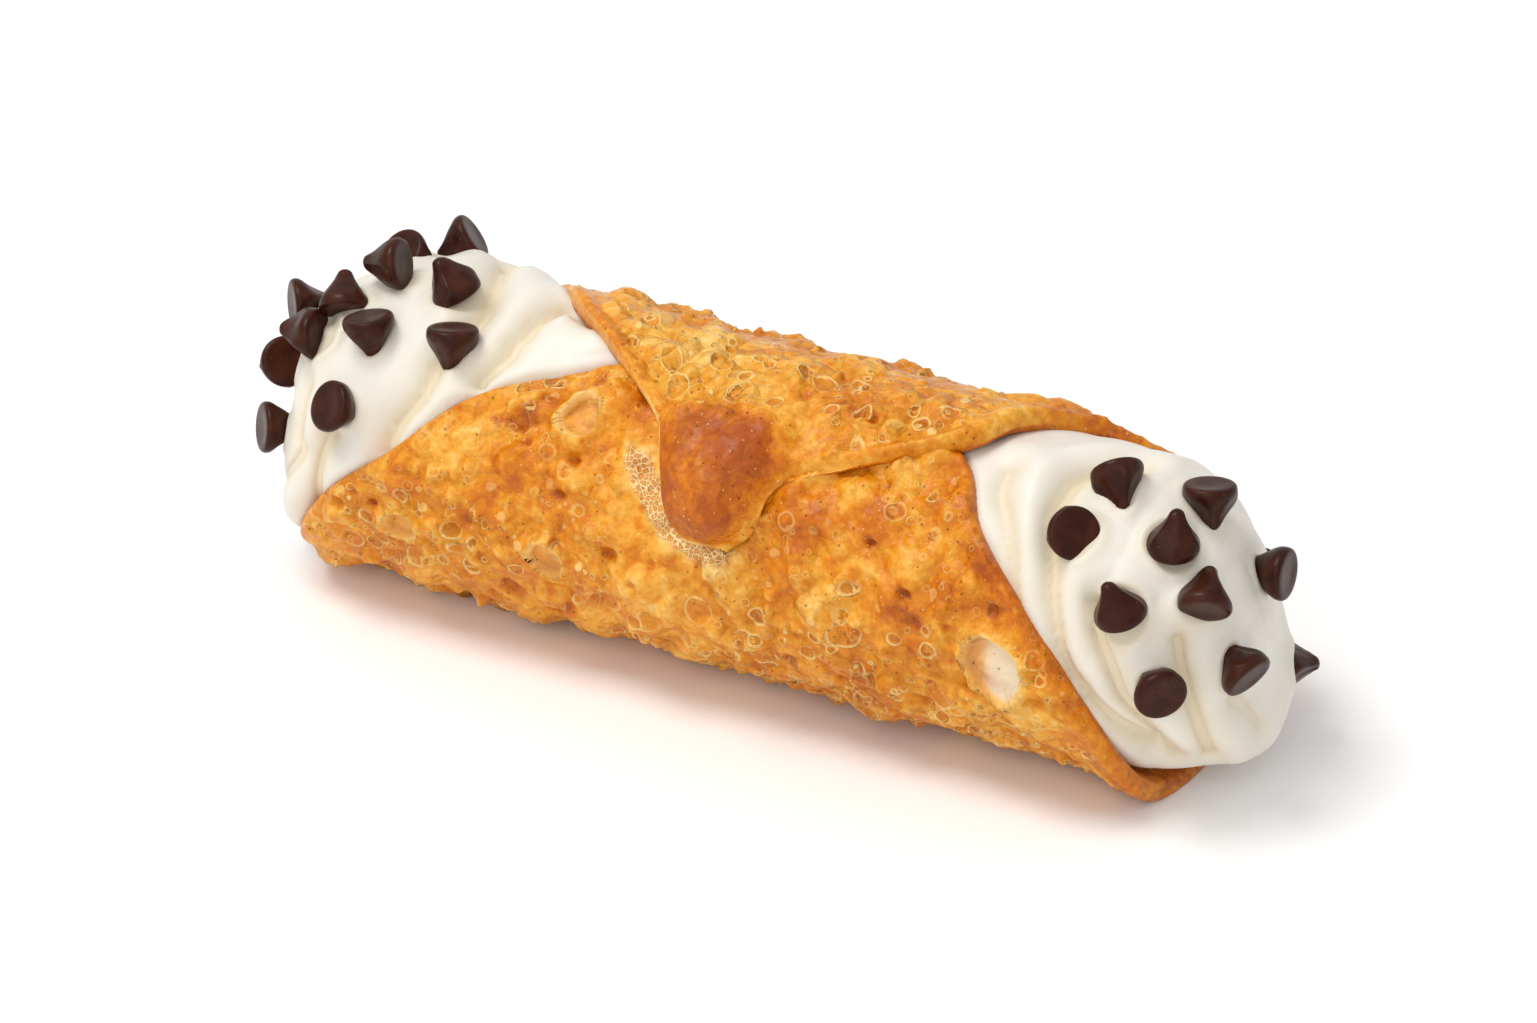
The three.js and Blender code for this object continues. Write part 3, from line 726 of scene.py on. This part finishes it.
def chip_frame(node):
    """Where a CAD chip's base is, in millimetres, and the way it points."""
    co = np.array([v.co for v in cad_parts[node].data.vertices]) / MM
    co = np.unique(np.round(co, 2), axis=0)
    box_middle = (co.min(0) + co.max(0)) / 2
    axis = np.linalg.svd(co - box_middle, full_matrices=False)[2][0]
    middle = co.mean(0)
    along = (co - middle) @ axis
    off_axis = np.linalg.norm((co - middle) - along[:, None] * axis, axis=1)
    if off_axis[along > 0].max() > off_axis[along < 0].max():
        axis, along = -axis, -along
    return middle + axis * along.min(), axis


def chip_distance(points, chip):
    """Rough distance from points to the side of a chip, negative inside it."""
    base, axis = chip
    offset = points - base
    height = np.clip(offset @ axis, 0, CHIP_HEIGHT)
    radius = np.interp(height, CHIP_PROFILE[3:, 1], CHIP_PROFILE[3:, 0])
    return np.linalg.norm(offset - height[..., None] * axis, axis=-1) - radius


def chip_form(rng, turn, share):
    """How far each point of a chip stands out of a plain round: soft facets and a ridge or two."""
    body = ease(0.1, 0.5, share) * ease(1.02, 0.8, share)
    sides = rng.integers(3, 6)
    facet = rng.uniform(0.5, 0.95)
    start = rng.uniform(0, 2 * np.pi)
    corner = (turn - start) % (2 * np.pi / sides) - np.pi / sides
    polygon = np.cos(np.pi / sides) / np.cos(0.94 * corner)
    form = 1 + facet * (polygon / polygon.mean() - 1) * body
    for _ in range(rng.integers(1, 4)):
        place = rng.uniform(0, 2 * np.pi)
        gap = np.angle(np.exp(1j * (turn - place)))
        form = form + rng.uniform(-0.1, 0.08) * np.exp(-(gap / 0.3) ** 2) * body
    return form + 0.012 * np.sin(7 * turn + start) * body


def chip_piece(name, chip, material, seed):
    """A drop of chocolate with a flat, slightly dented base and a tip that leans a little."""
    rng = np.random.default_rng(seed)
    base, axis = chip
    path = smooth_line(CHIP_PROFILE, 3)
    radius, height = path[:, :1], path[:, 1:]
    turn = np.arange(CHIP_AROUND) * 2 * np.pi / CHIP_AROUND
    share = height / CHIP_HEIGHT
    form = chip_form(rng, turn, share)
    lean = rng.uniform(0.1, 0.7) * share ** 2
    lean_turn = rng.uniform(0, 2 * np.pi)
    across = radius * form * np.cos(turn) + lean * np.cos(lean_turn)
    beside = radius * form * np.sin(turn) + lean * np.sin(lean_turn)
    dent = 0.1 * np.exp(-((radius * np.cos(turn) - 0.8) ** 2 + (radius * np.sin(turn) + 0.4) ** 2) / 2.5)
    up = height + dent * (share < 0.06)
    side = np.cross(axis, [0, 0, 1] if abs(axis[2]) < 0.9 else [1, 0, 0])
    side /= np.linalg.norm(side)
    other = np.cross(side, axis)
    rings = base + across[..., None] * side + beside[..., None] * other + up[..., None] * axis
    return make_object(name, rings[1:], {}, material)


# -------- materials
class Nodes:
    """Short calls that add and join the shader nodes of one material."""

    def __init__(self, name):
        self.material = bpy.data.materials.new(name)
        self.material.use_nodes = True
        self.tree = self.material.node_tree
        self.shader = self.tree.nodes["Principled BSDF"]

    def add(self, kind, inputs=None, **settings):
        node = self.tree.nodes.new(kind)
        for key, value in settings.items():
            setattr(node, key, value)
        for key, value in (inputs or {}).items():
            self.put(node.inputs[key], value)
        return node

    def put(self, socket, value):
        """Links another node's output to a socket, or sets a plain value on it."""
        if isinstance(value, bpy.types.NodeSocket):
            self.tree.links.new(value, socket)
        else:
            socket.default_value = value

    def place(self):
        return self.add("ShaderNodeTexCoord").outputs["Object"]

    def math(self, operation, a, b=0.0):
        return self.add("ShaderNodeMath", {0: a, 1: b}, operation=operation).outputs[0]

    def plus(self, a, b):
        return self.math("ADD", a, b)

    def minus(self, a, b):
        return self.math("SUBTRACT", a, b)

    def times(self, a, b):
        return self.math("MULTIPLY", a, b)

    def mix(self, share, a, b):
        """Colour a where the share is 0, colour b where it is 1."""
        node = self.add("ShaderNodeMix", data_type="RGBA", clamp_factor=True)
        self.put(node.inputs[0], share)
        self.put(node.inputs[6], a)
        self.put(node.inputs[7], b)
        return node.outputs[2]

    def step(self, value, low, high):
        """A smooth step from 0 at low to 1 at high. Low may be the larger."""
        node = self.add("ShaderNodeMapRange", {0: value, 1: low, 2: high}, interpolation_type="SMOOTHSTEP")
        return node.outputs[0]

    def field(self, name):
        """One of the values that the mesh carries at its points."""
        return self.add("ShaderNodeAttribute", attribute_name=name).outputs["Fac"]

    def noise(self, scale, detail=3.0, rough=0.5):
        return self.add("ShaderNodeTexNoise", {"Vector": self.place(), "Scale": scale, "Detail": detail,
                                               "Roughness": rough}).outputs[0]

    def bubbles(self, scale, share, small, large):
        """Thin-rimmed round bubbles in a share of the cells of a grid: their rims and their insides."""
        place = self.place()
        drift = self.add("ShaderNodeTexNoise", {"Vector": place, "Scale": 420, "Detail": 1})
        drift = self.add("ShaderNodeVectorMath", {0: drift.outputs["Color"], "Scale": 0.0009},
                         operation="SCALE").outputs[0]
        place = self.add("ShaderNodeVectorMath", {0: place, 1: drift}, operation="ADD").outputs[0]
        cells = self.add("ShaderNodeTexVoronoi", {"Vector": place, "Scale": scale}, feature="F1")
        chance = self.add("ShaderNodeSeparateColor", {0: cells.outputs["Color"]}).outputs
        radius = self.add("ShaderNodeMapRange", {0: chance[0], 3: small, 4: large}).outputs[0]
        gap = self.minus(cells.outputs["Distance"], radius)
        here = self.step(chance[1], share + 0.02, share - 0.02)
        rim = self.times(here, self.step(self.math("ABSOLUTE", gap), 0.085, 0.02))
        return rim, self.times(here, self.step(gap, 0.0, -0.1))

    def cells(self, scale, feature="F1"):
        """Distance to the middle of the nearest of scattered cells, or to its wall."""
        return self.add("ShaderNodeTexVoronoi", {"Vector": self.place(), "Scale": scale},
                        feature=feature).outputs["Distance"]

    def bump(self, height, strength, distance):
        """Fine relief from a height, as a normal for the shader."""
        return self.add("ShaderNodeBump", {"Strength": strength, "Distance": distance,
                                           "Height": height}).outputs[0]

    def surface(self, settings):
        """Puts the settings on the shader and gives the finished material."""
        for key, value in settings.items():
            self.put(self.shader.inputs[key], value)
        return self.material


def colour(red, green, blue):
    """A display colour from 0 to 255 as the linear colour that shaders use."""
    def linear(value):
        share = value / 255
        return share / 12.92 if share <= 0.04045 else ((share + 0.055) / 1.055) ** 2.4
    return (linear(red), linear(green), linear(blue), 1.0)


# Dough from pale to browned: place on the ramp and colour.
BROWNING = [
    (0.0, (248, 204, 118)), (0.26, (236, 169, 58)), (0.5, (222, 138, 20)), (0.74, (204, 111, 6)),
    (1.0, (168, 77, 4)),
]


def browned(n, tone):
    """Colour of the dough for its tone: how browned it is, plus the painted light and shade laid into the
    tone.
    """
    ramp = n.add("ShaderNodeValToRGB", {"Fac": n.step(tone, -1.2, 1.5)})
    elements = ramp.color_ramp.elements
    while len(elements) < len(BROWNING):
        elements.new(0.5)
    for element, (place, shade) in zip(elements, BROWNING):
        element.position = place
        element.color = colour(*shade)
    return ramp.outputs[0]


def dough_marks(n):
    """What both the colour and the relief of the dough use."""
    bubbly = n.field("bubbly")
    wide_rim, wide_inside = n.bubbles(330, 0.5, 0.16, 0.4)
    fine_rim, fine_inside = n.bubbles(640, 0.4, 0.16, 0.38)
    return {
        "bubbly": bubbly,
        "rims": n.times(bubbly, n.math("MAXIMUM", wide_rim, fine_rim)),
        "insides": n.times(bubbly, n.math("MAXIMUM", wide_inside, n.times(fine_inside, 0.6))),
        "rim": n.field("rim"),
        "light": n.field("rim_light"),
        "foam": n.field("foam"),
        "wall": n.step(n.cells(1400, "DISTANCE_TO_EDGE"), 0.2, 0.05),
        "pin": n.step(n.cells(620), 0.11, 0.06),
    }


def dough_colour(n, marks):
    """Browned dough with its bubbles, thin windows and foam laid over it, painted shade darkening the
    bubble insides and pinholes, and pale flecks as painted glints.
    """
    rim, light = marks["rim"], marks["light"]
    speckle = n.times(n.minus(n.noise(900, 4, 0.6), 0.5), 1.9)
    # Painted shade: the sunken insides of the fine bubbles are browned.
    base = browned(n, n.plus(n.plus(n.field("tone"), speckle), n.times(marks["insides"], 0.45)))
    base = n.mix(n.times(n.step(rim, 0.1, -0.3), n.times(light, 0.3)), base, colour(226, 152, 52))
    line = n.step(n.math("ABSOLUTE", rim), 0.24, 0.05)
    base = n.mix(n.times(line, n.times(light, 0.66)), base, colour(252, 212, 132))
    base = n.mix(n.times(marks["rims"], 0.7), base, colour(254, 214, 132))
    window = n.field("window")
    clear = n.mix(n.step(window, 0.35, 0.75), colour(238, 190, 112), colour(238, 222, 194))
    base = n.mix(n.times(window, 0.9), base, clear)
    foam = n.mix(marks["wall"], colour(224, 152, 70), colour(254, 218, 156))
    base = n.mix(marks["foam"], base, foam)
    # Painted shade: the pinholes are darkened.
    base = n.mix(n.times(marks["pin"], 0.5), base, colour(150, 76, 30))
    # Painted glints: tiny pale flecks stand in for highlights on the dough's small bubbles.
    dust_and_glint = n.step(n.cells(790), 0.11, 0.06)
    return n.mix(n.times(dust_and_glint, 0.5), base, colour(252, 226, 170))


def dough_relief(n, marks):
    """Grain, knobs, rims and foam too fine for the mesh, as a height for the bump."""
    ridge = n.times(n.step(n.math("ABSOLUTE", marks["rim"]), 0.3, 0.0), marks["light"])
    fine = n.plus(n.times(n.noise(1500, 5, 0.6), 0.35), n.times(n.noise(420, 4), 0.6))
    fine = n.plus(fine, n.times(ridge, 0.25))
    knobs = n.times(n.math("POWER", n.cells(430), 1.6), n.plus(0.35, n.times(marks["bubbly"], 0.65)))
    fine = n.minus(fine, n.times(knobs, 2.2))
    fine = n.plus(fine, n.minus(n.times(marks["rims"], 0.2), n.times(marks["insides"], 0.35)))
    fine = n.plus(fine, n.times(n.times(marks["wall"], marks["foam"]), 0.35))
    return n.minus(fine, n.times(marks["pin"], 0.5))


def dough_material():
    n = Nodes("fried_dough")
    marks = dough_marks(n)
    return n.surface({
        "Base Color": dough_colour(n, marks),
        "Roughness": n.plus(0.22, n.times(n.noise(500, 3), 0.22)),
        "Normal": n.bump(dough_relief(n, marks), 1.0, 0.0006),
        "Subsurface Weight": 0.06,
        "Subsurface Radius": (0.0012, 0.0006, 0.0002),
        "Subsurface Scale": 1.0,
        "Specular IOR Level": 0.24,
        "Coat Weight": 0.1,
        "Coat Roughness": 0.18,
    })


def cream_material():
    n = Nodes("cream")
    base = n.mix(n.step(n.noise(160, 3), 0.35, 0.7), colour(230, 226, 217), colour(227, 221, 209))
    # Painted shade in the creases.
    base = n.mix(n.times(n.field("crease_shade"), 0.6), base, colour(226, 204, 158))
    # Painted shade round the chips.
    base = n.mix(n.times(n.field("halo"), 0.45), base, colour(220, 198, 154))
    fine = n.plus(n.times(n.noise(260, 3), 0.5), n.times(n.noise(1400, 3), 0.12))
    return n.surface({
        "Base Color": base,
        "Roughness": n.plus(0.4, n.times(n.noise(300, 3), 0.14)),
        "Normal": n.bump(fine, 0.2, 0.0003),
        "Subsurface Weight": 0.3,
        "Subsurface Radius": (0.003, 0.0024, 0.0016),
        "Subsurface Scale": 1.0,
        "Specular IOR Level": 0.45,
    })


def chocolate_material():
    n = Nodes("chocolate")
    base = n.mix(n.step(n.noise(420, 4), 0.35, 0.7), colour(50, 19, 8), colour(67, 31, 17))
    dust_and_glint = n.step(n.cells(900), 0.09, 0.05)
    base = n.mix(n.times(dust_and_glint, 0.4), base, colour(140, 100, 88))
    fine = n.plus(n.times(n.noise(700, 4), 0.5), n.times(n.noise(2200, 3), 0.15))
    return n.surface({
        "Base Color": base,
        "Roughness": n.plus(0.25, n.times(n.noise(600, 3), 0.16)),
        "Normal": n.bump(fine, 0.4, 0.0002),
        "Specular IOR Level": 0.16,
    })


def floor_material():
    n = Nodes("floor_white")
    base = n.mix(n.step(n.noise(3, 2), 0.3, 0.7), colour(252, 252, 252), colour(250, 250, 250))
    return n.surface({"Base Color": base, "Roughness": 0.9, "Specular IOR Level": 0.1})


# -------- pieces
dough, cream, chocolate = dough_material(), cream_material(), chocolate_material()
shell = shell_piece(dough)
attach(shell, "root")
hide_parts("shell")

chip_nodes = sorted(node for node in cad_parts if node.startswith("chip_"))
chip_frames = {node: chip_frame(node) for node in chip_nodes}
for number, node in enumerate(chip_nodes):
    piece = chip_piece("choc_" + node, chip_frames[node], chocolate, 100 + number)
    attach(piece, "root")
    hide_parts(node)

filling = cream_piece(cream, list(chip_frames.values()))
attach(filling, "root")
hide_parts("cream")

# -------- floor, light and camera
FLOOR = 3  # metres from the middle of the floor to its sides
floor_mesh = bpy.data.meshes.new("floor")
floor_corners = [(-FLOOR, -FLOOR, 0), (FLOOR, -FLOOR, 0), (FLOOR, FLOOR, 0), (-FLOOR, FLOOR, 0)]
floor_mesh.from_pydata(floor_corners, [], [(0, 1, 2, 3)])
floor = bpy.data.objects.new("floor", floor_mesh)
floor_mesh.materials.append(floor_material())
bpy.context.scene.collection.objects.link(floor)

AZIMUTH, ELEVATION = 28.61 * RAD, 30 * RAD
DISTANCE = 0.851
TO_CAMERA = Vector((math.sin(AZIMUTH) * math.cos(ELEVATION), -math.cos(AZIMUTH) * math.cos(ELEVATION),
                    math.sin(ELEVATION)))
TO_RIGHT = Vector((math.cos(AZIMUTH), math.sin(AZIMUTH), 0))
TO_BACK = Vector((-math.sin(AZIMUTH), math.cos(AZIMUTH), 0))
UP = Vector((0, 0, 1))
TARGET = Vector((0, -0.002, 0.020))


def aim(thing, place, target):
    """Puts a light or a camera at a place and points it at a target."""
    thing.location = place
    thing.rotation_euler = (target - place).to_track_quat("-Z", "Y").to_euler()


def area_light(name, place, size, power, shade):
    """A round soft light that faces the target."""
    light = bpy.data.lights.new(name, "AREA")
    light.shape = "DISK"
    light.size = size
    light.energy = power
    light.color = shade
    thing = bpy.data.objects.new(name, light)
    bpy.context.scene.collection.objects.link(thing)
    aim(thing, place, TARGET)


# Name, place, size in metres, power in watts and colour.
area_light("key", TO_RIGHT * -0.42 - TO_BACK * 0.02 + UP * 1.0, 0.5, 6.0, (1, 0.985, 0.96))
area_light("fill", TO_RIGHT * -0.3 - TO_BACK * 0.9 + UP * 0.6, 0.9, 2.3, (1, 0.99, 0.98))
world = bpy.data.worlds.new("studio")
world.use_nodes = True
background = world.node_tree.nodes["Background"]
background.inputs["Color"].default_value = (1, 1, 1, 1)
background.inputs["Strength"].default_value = 0.66
bpy.context.scene.world = world
bpy.context.scene.view_settings.view_transform = "Standard"

camera_data = bpy.data.cameras.new("camera")
camera_data.lens = 165.3
camera_data.sensor_width = 36
camera_data.dof.use_dof = False
camera = bpy.data.objects.new("camera", camera_data)
bpy.context.scene.collection.objects.link(camera)
aim(camera, TARGET + TO_CAMERA * DISTANCE, TARGET)
bpy.context.scene.camera = camera
